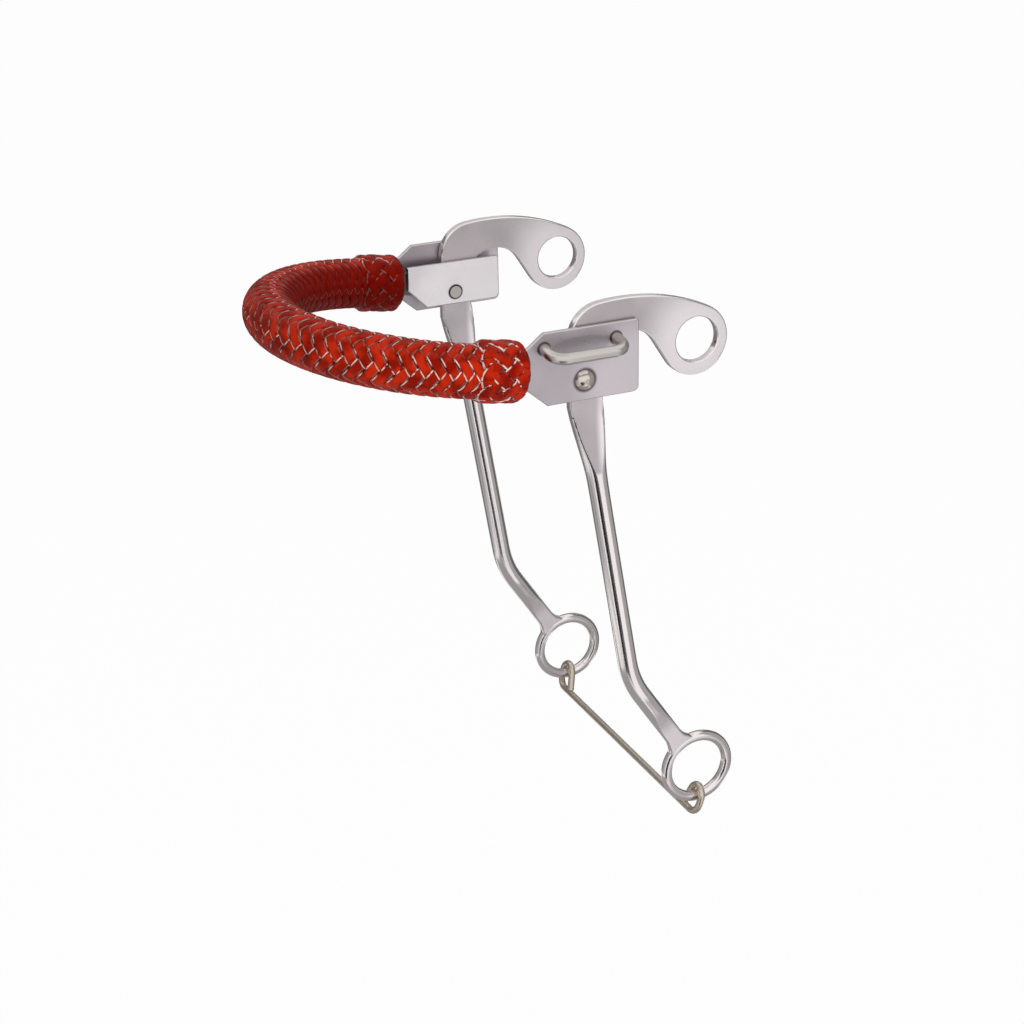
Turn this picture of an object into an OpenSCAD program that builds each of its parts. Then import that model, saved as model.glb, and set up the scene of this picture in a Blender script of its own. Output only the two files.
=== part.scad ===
// Mechanical hackamore: a bitless bridle noseband with two swinging shanks.
// The noseband arches over the horse's nose at -X, the shanks trail towards +X,
// and the two pivots lie on the Y axis, so the origin is midway between them.
// Outlines of flat pieces are drawn in X and Z. Each cheek is drawn with +Y pointing
// outwards from the middle plane of its shank, and is mirrored for the left side.

/* [Cheek plates] */
// Distance between the middle planes of the two shanks
cheek_spacing = 134; // [110:1:160]
// Thickness of each cheek plate
plate_thick = 2; // [1.5:0.1:3]
// Top edge of the outer plate above the pivot
outer_top = 22.4; // [20:0.2:28]
// Bottom edge of the outer plate below the pivot
outer_bottom = 8.6; // [7:0.2:14]
// Rear edge of the outer plate behind the pivot
outer_rear = 24.4; // [18:0.2:32]
// Where the top edge of the outer plate starts to slope down, ahead of the pivot
top_shoulder = 18; // [12:0.5:20]
// Where the bottom edge of the outer plate starts to slope up, ahead of the pivot
bottom_shoulder = 16.5; // [10:0.5:20]
// Top of the outer plate's narrow front end above the pivot
tongue_top = 13.2; // [10:0.2:15]
// Bottom of the outer plate's narrow front end above the pivot
tongue_bottom = 3; // [0:0.2:5]
// Radius of the upper rear corner of both plates
top_corner = 1.2; // [0.5:0.1:3]
// Radius of the lower rear corner of both plates
bottom_corner = 2.6; // [1:0.1:4]
// Top edge of the inner plate above the pivot
inner_top = 14.2; // [11:0.2:20]
// Bottom edge of the inner plate below the pivot
inner_bottom = 5.6; // [4.5:0.2:12]
// Rear edge of the inner plate behind the pivot
inner_rear = 21.6; // [15:0.2:30]
// Front edge of the inner plate ahead of the pivot
inner_front = 23; // [18:0.2:23]
// Length and height of the slope at the inner plate's lower front corner
inner_slope = 9; // [5:0.5:10]

/* [Pivot rivets] */
// Diameter of the pivot rivet
rivet_d = 5.5; // [4:0.1:7]
// Diameter of the domed head
rivet_head_d = 8.8; // [8:0.2:12]
// Height of the domed head
rivet_head_h = 2.8; // [1.5:0.1:4]
// Height of the low peened end on the inside
rivet_end_h = 0.4; // [0.2:0.1:1]
// Bevel round the peened end in the inner plate
rivet_rim = 0.5; // [0.3:0.1:0.6]

/* [Shanks] */
// Angle of the rod behind the vertical, about the pivot
shank_rake = 9.2; // [4:0.1:15]
// Thickness of the flat arm and blade
shank_thick = 4; // [3:0.1:6]
// Diameter of the rod
rod_d = 8.4; // [6:0.1:10]
// Width of the flat blade
blade_width = 15.2; // [13:0.2:20]
// Where the flat blade starts to narrow, below the pivot
blade_end = 12; // [11:0.5:16]
// Where the facets of the forged taper run out, below the pivot
facet_end = 41; // [28:1:58]
// Where the forged taper has become the round rod, below the pivot
taper_end = 43; // [30:1:60]
// Where the rod starts to bend back, below the pivot
rod_end = 135.2; // [110:0.2:170]
// How far the rod bends back
bend_angle = 24.3; // [10:0.1:40]
// Radius of the bend
bend_radius = 45; // [12:1:60]
// Where the rod has become the flat neck, above the middle of the rein ring
neck_above = 25.2; // [23:0.2:30]
// Length over which the rod flattens into the neck
neck_run = 15; // [10:0.5:20]
// Width of the flat neck
neck_width = 8.25; // [7.65:0.2:10.05]
// Thickness of the flat neck
neck_thick = 4.2; // [3:0.1:4.6]
// Radius of the fillets between neck and ring
neck_fillet = 11; // [5:0.5:11]
// Middle of the rein ring below the bend
ring_reach = 50.8; // [44:0.2:75]
// Opening of the rein ring
ring_hole_d = 25.4; // [20:0.2:30]
// Thickness of the rein ring's section
ring_wire_d = 4.8; // [4.7:0.1:6]

/* [Swan-neck arms] */
// Middle of the curb eye behind the pivot, square to the rod
eye_reach = 53; // [51:0.2:65]
// Opening of the curb eye
eye_hole_d = 19.2; // [16:0.2:22]
// Radius of the arm's rounded end round the curb eye
head_r = 15; // [14:0.1:17]
// How far the curb eye sits behind the middle of that rounded end
eye_offset = 0.7; // [0:0.1:2]
// Middle of the arm's front shoulder behind the pivot, square to the rod
shoulder_x = 11.8; // [9:0.2:14]
// Middle of the arm's front shoulder above the pivot, along the rod
shoulder_z = 14; // [12:0.1:18]
// Radius of the arm's front shoulder
shoulder_r = 15; // [13:0.1:18]
// Radius of the arm's long top curve
crown_r = 90; // [60:5:200]
// Middle of the hollow under the arm behind the pivot, square to the rod
hollow_x = 21; // [19:0.1:23]
// Radius of the hollow under the arm
hollow_r = 13.8; // [11:0.1:15]

/* [Noseband] */
// Diameter of the braided noseband
nose_d = 22; // [18:0.5:26]
// Thickness of the braided leather cover
braid_thick = 2.4; // [1.5:0.1:3]
// Diameter of the steel cable in the core
cable_d = 8; // [6:0.5:10]
// Start of the noseband ahead of the pivots
nose_ahead = 24; // [22:0.5:27]
// Middle of the noseband's start above the pivots
nose_rise = 6.2; // [4:0.2:8]
// Upward tilt of the noseband
nose_tilt = 8.6; // [4:0.2:14]
// Straight length at each end of the noseband
nose_straight = 15; // [13:0.5:30]
// Where braid, filler and ferrule start, from the start of the noseband
braid_start = 7.5; // [7:0.1:9]
// Leather of the end knot over the braid
knot_wall = 1.7; // [1.2:0.1:3]
// Near face of the end knot, from the start of the noseband
knot_start = 2; // [0.5:0.1:2.4]
// Length of the end knot
knot_length = 21; // [18:0.5:30]
// Rounding of the end knot at the plates
knot_round = 4.5; // [2:0.1:5]

/* [Tangs] */
// Height of the flat tang between the plates
tang_height = 10; // [7:0.2:11]
// Rear edge of the tang ahead of the pivots
tang_ahead = 16; // [15:0.2:18]
// Wall of the ferrule round the cable
ferrule_wall = 1.5; // [1:0.1:2]
// Depth of the cable in the ferrule
ferrule_depth = 6; // [4:0.5:7]
// Diameter of the rivet through tang and outer plate
tang_rivet_d = 3; // [2:0.1:3.4]
// Diameter of that rivet's heads
tang_head_d = 4.6; // [3.8:0.1:5]
// Height of that rivet's heads
tang_head_h = 0.8; // [0.5:0.1:1]
// Middle of that rivet, from the start of the noseband
tang_rivet_at = 3.5; // [3:0.1:4]

/* [Headstall loops] */
// Width of strap that the loop takes
loop_width = 27.2; // [20:0.2:28]
// Gap between the plate and the loop's bar
loop_gap = 8.6; // [6:0.2:12]
// Thickness of the loop's wire
loop_wire_d = 4.8; // [3.5:0.1:5.5]
// Radius of the loop's bends, to the middle of the wire
loop_bend = 6; // [5:0.2:7]
// Middle of the loop ahead of the pivot
loop_ahead = 2; // [-2:0.5:3]
// Roots of the loop's legs above the pivot
loop_rise = 16.1; // [14:0.1:18]
// How far the loop droops below square to the plate
loop_droop = 9; // [0:1:20]
// Plate left behind the loop's legs
loop_seat = 0.9; // [0.8:0.1:1]

/* [Spacer bar] */
// Thickness of the spacer bar's wire
bar_d = 3.2; // [2.5:0.1:4]
// Bar below the middle of the ring's section
bar_drop = 7.8; // [7:0.1:18]
// Radius of the bend between bar and hook, to the middle of the wire
bar_bend = 6; // [4.5:0.1:7.6]
// Length of the hook's free leg
hook_tail = 8.6; // [4:0.1:10]
// How far the hook's free leg opens towards the middle
hook_open = 20; // [5:1:30]
// How far the bar leans forward where it hooks over the rings
bar_lean = 16; // [0:1:18]

/* [Clearances] */
// Gap on each side of the shank between the plates
side_gap = 0.3; // [0.2:0.05:0.6]
// Radial play of the shank on its rivet
pivot_play = 0.08; // [0.04:0.01:0.1]
// Radial play of fixed wire and rivets in their holes
hole_play = 0.05; // [0.02:0.01:0.1]
// Gap round leather pieces
leather_gap = 0.2; // [0.1:0.05:0.4]
// Gap between the hook and the ring
hook_gap = 0.6; // [0.5:0.05:1]

/* [Hidden] */
$fn = 64;

left = -1;
right = 1;
// How far a cut runs past the face that it opens
cut_extra = 1;
// How far the flat of the tang runs into its ferrule
tang_root = 1;
// Gap between the outer plate's front end and the end of the braid
tongue_gap = 1.5;
// Ledge all round between the blade and the narrower taper
edge_step = 0.1;
// How much stouter the leg below the bend is all round, and thinner than the neck at its end
leg_step = 0.1;
// How far the leg reaches into the bend, and the neck into the leg
leg_lap = 0.5;
neck_lap = 2;
// How far inside the ring's section the fillets of the neck run out
neck_sink = 0.15;
// How much stouter the hook's free leg is all round, and how far it reaches into the hook
tail_step = 0.05;
tail_lap = 0.3;

// Cheek stack, measured outwards from the shank's middle plane
half_spacing = cheek_spacing / 2;
gap_half = shank_thick / 2 + side_gap;
plate_face = gap_half + plate_thick;

// Noseband
nose_r = nose_d / 2;
filler_r = nose_r - braid_thick - leather_gap;
ferrule_r = cable_d / 2 + ferrule_wall;
knot_r = nose_r + knot_wall;
knot_turn = (knot_start + knot_length - nose_straight) / half_spacing * 180 / PI;
tongue_end = nose_ahead + braid_start - tongue_gap;
mouth_r = norm([tang_head_d / 2, plate_face + tang_head_h]) + leather_gap;

// Shank, in its own frame, where the rod points straight down
head = [eye_reach - eye_offset, 0];
shoulder = [shoulder_x, shoulder_z];
hollow = [hollow_x, 0];
taper_top_r = blade_width / 2 - edge_step;
taper_half = shank_thick / 2 - edge_step;
taper_run = (facet_end - blade_end) / (taper_end - blade_end);
facet_r = taper_top_r + (rod_d / 2 - taper_top_r) * taper_run;
taper_slope = (facet_r - taper_half) / (facet_end - blade_end);
leg_r = rod_d / 2 + leg_step;
neck_half = neck_thick / 2;
neck_end = ring_reach - neck_above;
neck_slope = (leg_r - neck_half) / neck_run;
ring_r = (ring_hole_d + ring_wire_d) / 2;
neck_blend_r = ring_r + sqrt(pow(ring_wire_d / 2, 2) - pow(neck_half, 2)) - neck_sink;

// Middle of the rein ring in X and Z
lower_rake = shank_rake + bend_angle;
bend_middle = rod_end * down(shank_rake) + bend_radius * across(shank_rake);
ring = bend_middle - bend_radius * across(lower_rake) + ring_reach * down(lower_rake);

// Spacer bar, measured outwards from the shank's middle plane
hook_r = ring_wire_d / 2 + hook_gap + bar_d / 2;
hook_z = ring[1] - ring_r;

// Direction in X and Z that points down, tipped back by an angle, and the one across it
function down(rake) = [sin(rake), -cos(rake)];
function across(rake) = [cos(rake), sin(rake)];
function heading(v) = atan2(v[1], v[0]);
function polar(r, angle) = r * [cos(angle), sin(angle)];

// Point where a line from p touches a circle, clockwise from p
function touch_from(p, middle, r) =
    middle + polar(r, heading(p - middle) - acos(r / norm(p - middle)));

// Angle at the first circle's middle of a line that crosses over to touch the second circle
function cross_angle(a, ra, b, rb) = heading(b - a) + acos((ra + rb) / norm(b - a));

// Middle of a circle of radius r that encloses two circles and touches both
function enclosing_middle(a, ra, b, rb, r) =
    let (gap = norm(b - a), da = r - ra, db = r - rb)
    let (along = (gap * gap + da * da - db * db) / (2 * gap))
    a + polar(along, heading(b - a)) - polar(sqrt(da * da - along * along), heading(b - a) + 90);

// Placing
module on_side(side) {
    mirror([0, side < 0 ? 1 : 0, 0])
        translate([0, half_spacing, 0])
            children();
}

module nose_frame() {
    translate([-nose_ahead, 0, nose_rise])
        rotate([0, nose_tilt, 0])
            children();
}

// Solid of a flat outline in X and Z, from one distance outwards to another
module slab(from, to) {
    translate([0, to, 0])
        rotate([90, 0, 0])
            linear_extrude(to - from)
                children();
}

// Round bar along Y through a point in X and Z
module cross_pin(p, from, to, d) {
    translate([p[0], from, p[1]])
        rotate([-90, 0, 0])
            cylinder(h = to - from, d = d);
}

// Frame whose Z axis points down, with +X forward
module downwards() {
    rotate([0, 180, 0])
        children();
}

module wire_bend(r, d, angle, start) {
    rotate_extrude(angle = angle, start = start)
        translate([r, 0])
            circle(d = d);
}

// Part of the noseband's centre line as a round bar, in the noseband's frame
module nose_bar(r, start) {
    for (side = [left, right])
        translate([-nose_straight, side * half_spacing, 0])
            rotate([0, 90, 0])
                cylinder(h = nose_straight - start, r = r);
    translate([-nose_straight, 0, 0])
        wire_bend(half_spacing, 2 * r, 180, 90);
}

// Noseband pieces
module noseband_braid() {
    color("firebrick")
        nose_frame()
            difference() {
                nose_bar(nose_r, braid_start);
                nose_bar(nose_r - braid_thick, braid_start - cut_extra);
            }
}

module noseband_filler() {
    color("tan")
        nose_frame()
            difference() {
                nose_bar(filler_r, braid_start);
                nose_bar(cable_d / 2 + leather_gap, braid_start - cut_extra);
                for (side = [left, right])
                    translate([-nose_straight - leather_gap, side * half_spacing, 0])
                        rotate([0, 90, 0])
                            cylinder(h = nose_straight, r = ferrule_r + leather_gap);
            }
}

module noseband_cable() {
    color("gray")
        nose_frame()
            nose_bar(cable_d / 2, nose_straight - ferrule_depth);
}

// What a rounded corner leaves out, with the middle of its rounding at the origin
module corner_cut(rounding) {
    difference() {
        square(rounding + cut_extra);
        circle(rounding);
    }
}

module end_knot(side) {
    length = nose_straight - knot_start;
    color("brown")
        on_side(side)
            difference() {
                nose_frame() {
                    translate([-knot_start, 0, 0])
                        rotate([0, -90, 0])
                            rotate_extrude()
                                difference() {
                                    square([knot_r, length]);
                                    translate([knot_r - knot_round, knot_round])
                                        mirror([0, 1])
                                            corner_cut(knot_round);
                                }
                    translate([-nose_straight, -half_spacing, 0])
                        wire_bend(half_spacing, 2 * knot_r, knot_turn, 90);
                }
                knot_bore();
                slab(-gap_half - leather_gap, plate_face + leather_gap)
                    outer_plate_outline(leather_gap);
            }
}

// Room in the knot for the braid and, at its mouth, for the tang and its rivet
module knot_bore() {
    nose_frame() {
        translate([0, -half_spacing, 0])
            nose_bar_end(nose_r + leather_gap, braid_start - leather_gap);
        rotate([0, -90, 0])
            cylinder(h = nose_straight, r = mouth_r);
    }
}

// One end of the noseband's centre line as a round bar, a little past the knot
module nose_bar_end(r, start) {
    translate([-nose_straight, half_spacing, 0])
        rotate([0, 90, 0])
            cylinder(h = nose_straight - start, r = r);
    translate([-nose_straight, 0, 0])
        wire_bend(half_spacing, 2 * r, 2 * knot_turn, 90);
}

// Tang pieces
module tang(side) {
    color("dimgray")
        on_side(side)
            nose_frame()
                difference() {
                    union() {
                        translate([-braid_start - tang_root, -gap_half, -tang_height / 2])
                            cube([nose_ahead + braid_start + tang_root - tang_ahead,
                                2 * gap_half, tang_height]);
                        translate([-nose_straight, 0, 0])
                            rotate([0, 90, 0])
                                cylinder(h = nose_straight - braid_start, r = ferrule_r);
                    }
                    translate([-nose_straight - cut_extra, 0, 0])
                        rotate([0, 90, 0])
                            cylinder(h = ferrule_depth + cut_extra, r = cable_d / 2 + hole_play);
                    cross_pin([-tang_rivet_at, 0], -plate_face, plate_face,
                        tang_rivet_d + 2 * hole_play);
                }
}

module tang_rivet(side) {
    color("lightgray")
        on_side(side)
            nose_frame() {
                cross_pin([-tang_rivet_at, 0], -gap_half, plate_face, tang_rivet_d);
                cross_pin([-tang_rivet_at, 0], plate_face, plate_face + tang_head_h, tang_head_d);
                cross_pin([-tang_rivet_at, 0], -gap_half - tang_head_h, -gap_half, tang_head_d);
            }
}

// Plates
module rear_corners(rear, top, bottom) {
    translate([rear - top_corner, top - top_corner])
        corner_cut(top_corner);
    translate([rear - bottom_corner, bottom_corner - bottom])
        mirror([0, 1])
            corner_cut(bottom_corner);
}

module outer_plate_outline(grow) {
    difference() {
        polygon([
            [-top_shoulder - grow, outer_top + grow],
            [outer_rear + grow, outer_top + grow],
            [outer_rear + grow, -outer_bottom - grow],
            [-bottom_shoulder - grow, -outer_bottom - grow],
            [-tongue_end - grow, tongue_bottom - grow],
            [-tongue_end - grow, tongue_top + grow]]);
        rear_corners(outer_rear + grow, outer_top + grow, outer_bottom + grow);
    }
}

module inner_plate_outline() {
    difference() {
        polygon([
            [-inner_front, inner_top],
            [inner_rear, inner_top],
            [inner_rear, -inner_bottom],
            [inner_slope - inner_front, -inner_bottom],
            [-inner_front, inner_slope - inner_bottom]]);
        rear_corners(inner_rear, inner_top, inner_bottom);
    }
}

module outer_plate(side) {
    color("silver")
        on_side(side)
            difference() {
                slab(gap_half, plate_face)
                    outer_plate_outline(0);
                cross_pin([0, 0], 0, plate_face + cut_extra, rivet_d + 2 * hole_play);
                loop_frame()
                    for (x = loop_legs())
                        cross_pin([x, 0], -hole_play, 2 * plate_thick, loop_wire_d + 2 * hole_play);
                nose_frame()
                    cross_pin([-tang_rivet_at, 0], 0, plate_face + cut_extra,
                        tang_rivet_d + 2 * hole_play);
            }
}

module inner_plate(side) {
    hole_r = rivet_d / 2 + hole_play;
    color("gainsboro")
        on_side(side)
            difference() {
                slab(-plate_face, -gap_half)
                    inner_plate_outline();
                cross_pin([0, 0], -plate_face - cut_extra, 0, rivet_d + 2 * hole_play);
                translate([0, -plate_face - rivet_rim, 0])
                    rotate([-90, 0, 0])
                        cylinder(h = 3 * rivet_rim, r1 = hole_r + 2 * rivet_rim, r2 = hole_r - rivet_rim);
            }
}

module pivot_rivet(side) {
    cap_r = (pow(rivet_head_d / 2, 2) + pow(rivet_head_h, 2)) / (2 * rivet_head_h);
    color("whitesmoke")
        on_side(side) {
            cross_pin([0, 0], -plate_face - rivet_end_h, plate_face, rivet_d);
            translate([0, plate_face, 0])
                rotate([-90, 0, 0])
                    rotate_extrude()
                        intersection() {
                            translate([0, rivet_head_h - cap_r])
                                circle(cap_r);
                            square([rivet_head_d, rivet_head_h]);
                        }
        }
}

// Headstall loops
function loop_legs() =
    [for (end = [-1, 1]) end * (loop_width + loop_wire_d) / 2 - loop_ahead];

// Frame of a loop, with its legs' roots on the X axis and +Y along the legs
module loop_frame() {
    translate([0, gap_half + loop_seat, loop_rise])
        rotate([-loop_droop, 0, 0])
            children();
}

module headstall_loop(side) {
    legs = loop_legs();
    bar_out = plate_thick - loop_seat + loop_gap + loop_wire_d / 2;
    color("whitesmoke")
        on_side(side)
            loop_frame() {
                for (x = legs)
                    cross_pin([x, 0], 0, bar_out - loop_bend, loop_wire_d);
                translate([legs[0] + loop_bend, bar_out - loop_bend, 0])
                    wire_bend(loop_bend, loop_wire_d, 90, 90);
                translate([legs[1] - loop_bend, bar_out - loop_bend, 0])
                    wire_bend(loop_bend, loop_wire_d, 90, 0);
                translate([legs[0] + loop_bend, bar_out, 0])
                    rotate([0, 90, 0])
                        cylinder(h = legs[1] - legs[0] - 2 * loop_bend, d = loop_wire_d);
            }
}

// Shanks
module arm_outline() {
    crown = enclosing_middle(shoulder, shoulder_r, head, head_r, crown_r);
    crossing = cross_angle(hollow, hollow_r, head, head_r);
    blade_rear = [blade_width / 2, -blade_end];
    blade_front = [-blade_width / 2, -blade_end];
    difference() {
        union() {
            translate(shoulder)
                circle(shoulder_r);
            translate(head)
                circle(head_r);
            intersection() {
                translate(crown)
                    circle(crown_r);
                polygon([
                    shoulder,
                    crown + polar(2 * crown_r, heading(shoulder - crown)),
                    crown + polar(2 * crown_r, heading(head - crown)),
                    head,
                    head - polar(head_r, crossing),
                    hollow + polar(hollow_r, crossing),
                    hollow]);
            }
            polygon([
                touch_from(blade_front, shoulder, shoulder_r),
                shoulder,
                hollow,
                touch_from(blade_rear, hollow, hollow_r),
                blade_rear,
                blade_front]);
        }
        translate(hollow)
            circle(hollow_r);
        translate([eye_reach, 0])
            circle(d = eye_hole_d);
        circle(rivet_d / 2 + pivot_play);
    }
}

// Flat neck and its fillets, with the ring's middle at the origin and the neck above it
module neck_outline() {
    half = neck_width / 2;
    rise = sqrt(pow(neck_blend_r + neck_fillet, 2) - pow(half + neck_fillet, 2));
    difference() {
        polygon([
            [-half, -neck_above - neck_lap],
            [half, -neck_above - neck_lap],
            [half, -rise],
            [half + neck_fillet, -rise],
            [0, 0],
            [-half - neck_fillet, -rise],
            [-half, -rise]]);
        for (q = [-1, 1])
            translate([q * (half + neck_fillet), -rise])
                circle(neck_fillet);
        circle(ring_r);
    }
}

// Slab whose half thickness in Y is given at one height, and grows by a slope along Z
module flats(z, half, slope, from, to) {
    thick = function(at) half + slope * (at - z);
    translate([-blade_width, 0, 0])
        rotate([90, 0, 90])
            linear_extrude(2 * blade_width)
                polygon([
                    [-thick(from), from],
                    [thick(from), from],
                    [thick(to), to],
                    [-thick(to), to]]);
}

module shank(side) {
    color("lightsteelblue")
        on_side(side)
            rotate([0, -shank_rake, 0]) {
                slab(-shank_thick / 2, shank_thick / 2)
                    arm_outline();
                downwards() {
                    intersection() {
                        translate([0, 0, blade_end])
                            cylinder(h = taper_end - blade_end, r1 = taper_top_r, r2 = rod_d / 2);
                        flats(blade_end, taper_half, taper_slope,
                            blade_end - cut_extra, taper_end + cut_extra);
                    }
                    translate([0, 0, taper_end])
                        cylinder(h = rod_end - taper_end, d = rod_d);
                    translate([-bend_radius, 0, rod_end]) {
                        rotate([90, 0, 0])
                            wire_bend(bend_radius, rod_d, bend_angle, 0);
                        rotate([0, -bend_angle, 0])
                            translate([bend_radius, 0, 0])
                                lower_leg();
                    }
                }
            }
}

// Below the bend: the rod flattens into the neck of the rein ring
module lower_leg() {
    intersection() {
        translate([0, 0, -leg_lap])
            cylinder(h = neck_end + leg_lap, r = leg_r);
        flats(neck_end, neck_half - leg_step, -neck_slope, -leg_lap - cut_extra, neck_end + cut_extra);
    }
    translate([0, 0, ring_reach])
        rotate([90, 0, 0]) {
            wire_bend(ring_r, ring_wire_d, 360, 0);
            translate([0, 0, -neck_half])
                linear_extrude(neck_thick)
                    neck_outline();
        }
}

// Spacer bar
module hook() {
    rotate([90, 0, 90])
        wire_bend(hook_r, bar_d, 180 - hook_open, 0);
    rotate([-hook_open, 0, 0])
        translate([0, -hook_r, -hook_tail])
            cylinder(h = hook_tail + tail_lap, r = bar_d / 2 + tail_step);
    translate([0, hook_r, bar_bend - bar_drop])
        cylinder(h = bar_drop - bar_bend, d = bar_d);
    translate([0, hook_r - bar_bend, bar_bend - bar_drop])
        rotate([90, 0, 90])
            wire_bend(bar_bend, bar_d, 90, -90);
}

module spacer_bar() {
    bar_half = half_spacing + hook_r - bar_bend;
    color("rosybrown")
        translate([ring[0], 0, hook_z])
            rotate([0, bar_lean, 0]) {
                for (side = [left, right])
                    on_side(side)
                        hook();
                cross_pin([0, -bar_drop], -bar_half, bar_half, bar_d);
            }
}

noseband_braid();
noseband_filler();
noseband_cable();
end_knot(left);  // left_end_knot
end_knot(right);  // right_end_knot
tang(left);  // left_tang
tang(right);  // right_tang
tang_rivet(left);  // left_tang_rivet
tang_rivet(right);  // right_tang_rivet
outer_plate(left);  // left_outer_plate
outer_plate(right);  // right_outer_plate
inner_plate(left);  // left_inner_plate
inner_plate(right);  // right_inner_plate
headstall_loop(left);  // left_headstall_loop
headstall_loop(right);  // right_headstall_loop
pivot_rivet(left);  // left_pivot_rivet
pivot_rivet(right);  // right_pivot_rivet
shank(left);  // left_shank
shank(right);  // right_shank
spacer_bar();
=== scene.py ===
"""Looks of a mechanical hackamore: a braided leather noseband, steel cheeks and a wire spacer bar."""

import math
import random

import bmesh
import bpy
from mathutils import Matrix, Vector


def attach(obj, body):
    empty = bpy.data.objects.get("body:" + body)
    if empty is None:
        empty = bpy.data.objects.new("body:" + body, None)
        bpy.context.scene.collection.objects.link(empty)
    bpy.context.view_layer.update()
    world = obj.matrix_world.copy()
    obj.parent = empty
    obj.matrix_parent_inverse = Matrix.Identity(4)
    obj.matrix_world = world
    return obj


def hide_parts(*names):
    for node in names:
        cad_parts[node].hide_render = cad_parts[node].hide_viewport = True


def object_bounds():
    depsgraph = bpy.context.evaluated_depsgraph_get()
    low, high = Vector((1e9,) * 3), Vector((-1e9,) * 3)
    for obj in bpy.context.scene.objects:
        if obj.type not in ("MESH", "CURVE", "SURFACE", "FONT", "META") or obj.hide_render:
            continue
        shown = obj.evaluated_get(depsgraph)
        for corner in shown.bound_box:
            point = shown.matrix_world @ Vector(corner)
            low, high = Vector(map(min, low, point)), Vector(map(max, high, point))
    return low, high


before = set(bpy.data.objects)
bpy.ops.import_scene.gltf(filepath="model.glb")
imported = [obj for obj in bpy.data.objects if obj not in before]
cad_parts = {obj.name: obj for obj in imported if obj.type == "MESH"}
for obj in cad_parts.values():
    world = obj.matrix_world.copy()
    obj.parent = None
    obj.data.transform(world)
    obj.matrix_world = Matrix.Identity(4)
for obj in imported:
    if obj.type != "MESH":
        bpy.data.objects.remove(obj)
cad_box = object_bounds()

MM = 0.001
SIDES = ("left", "right")
# Points of a mesh that are closer than this, in metres, are one
MERGE_DISTANCE = 1e-6

# Noseband centre line, in millimetres, in a frame that is tipped up at the front
NOSE_ORIGIN = Vector((-24, 0, 6.2))
NOSE_TILT = math.radians(8.6)
NOSE_STRAIGHT = 15
NOSE_RADIUS = 67
NOSE_LENGTH = 2 * NOSE_STRAIGHT + math.pi * NOSE_RADIUS

# Braid: strands in each of the two directions, and the mean distance between two strands along the
# noseband, which is stretched over the nose and packed tighter towards the ends
BRAID_STRANDS = 8
BRAID_PITCH = 5.3
BRAID_STRETCH = 0.15
BRAID_START = 5.0
BRAID_MIDDLE = 10.2
BRAID_APEX = math.radians(3.4)
STRAND_THICK = 0.9
STRAND_FILL = 0.47
STRAND_CROWN = 0.22
ROWS_PER_CROSSING = 5
STRAND_COLUMNS = 4
# A strand of the braid goes over two others and under the next two: the crossings in one such period,
# the place of the first crest, and how far from a crest the strand starts and ends its dive
FLOAT_PERIOD = 4
FLOAT_CREST = 1.5
DIVE_FROM = 0.65
DIVE_TO = 1.35
# The strands differ a little in width, and stray from their places in two waves of some size and rate
FILL_SPREAD = 0.015
DRIFT_WAVES = ((0.02, 0.7), (0.015, 1.9))
# Tube inside the braid
SLEEVE_RADIUS = 8.9
SLEEVE_SIDES = 48
SLEEVE_STEPS = 72

# How far out from the centre line the painted shade on the inner side of the noseband starts and is full
INNER_SHADE_FROM = -1.5
INNER_SHADE_TO = -8.0

# End knots, in millimetres: a woven button of one long strand that runs to and fro between its two edges
KNOT_START = 2.0
KNOT_LENGTH = 21.0
KNOT_RADIUS = 12.0
KNOT_ROUND = 4.5
KNOT_LEADS = 5
KNOT_BIGHTS = 9
KNOT_STRAND = 5.4
KNOT_LIFT = 0.42
# Least painted shade on the knots' strand, as a share
KNOT_SHADE = 0.12
KNOT_ROWS = 900
# Drop of the knot's edge on the braid, the run in which it drops, and the part of a crossing in which
# the strand lies level beside its turning places
KNOT_EDGE_DROP = 1.2
KNOT_EDGE_RUN = 3
KNOT_CALM = 0.5
# Sleeve under the knot's strand: how far in, and its rows and columns
BACKING_INSET = 0.6
BACKING_GRID = (24, 64)

# Rounding of the sharp edges of plates and arms, in millimetres, and its steps
PLATE_EASE = 0.55
ARM_EASE = 0.7
EASE_STEPS = 3
# Angles between faces: lying in one plane, sharp enough to be rounded, and still sharp when shaded
FLAT_ANGLE = math.radians(0.5)
EASED_ANGLE = math.radians(60)
EASED_CREASE = math.radians(35)
# Edges nearer than this to the middle of a hole stay sharp, in metres
HOLE_REACH = 0.0036
# Steps in a metre of the grid on which places of two meshes are matched
GRID_STEPS = 1e5

# Shanks below their flat blades, in millimetres down the rod from the pivot: a round bar with flats
# that run out into the rod and come back on the neck of the rein ring
SHANK_OUT = 67
SHANK_RAKE = math.radians(9.2)
BLADE_END = 11.9
ARM_END = 25
ROD_TOP = 11.4
TAPER_FROM = 12
TAPER_TO = 43
TAPER_EASE = 0.16
BLADE_ROUND = 8.1
BLADE_HALF = 7.6
BLADE_FLAT = 1.99
TAPER_SLOPE = 0.098
FLAT_EASE = 8
ROD_RADIUS = 4.2
BEND_FROM = 135.2
BEND_RADIUS = 45
BEND_ANGLE = math.radians(24.3)
LEG_FROM = BEND_FROM + BEND_RADIUS * BEND_ANGLE
NECK_FROM = LEG_FROM + 25.6
NECK_FLAT = 2.1
NECK_SLOPE = 0.2
FILLET_FROM = LEG_FROM + 28.2
FILLET_RADIUS = 11
FILLET_ANGLE = math.radians(56.2)
FILLET_BULGE = 1.6
RING_MIDDLE = LEG_FROM + 50.8
RING_RADIUS = 15.1
RING_WIRE = 2.4
# The higher, the crisper are the edges between flats and round
EDGE_POWER = 18
ROD_COLUMNS = 80
RING_GRID = (128, 32)

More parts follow.
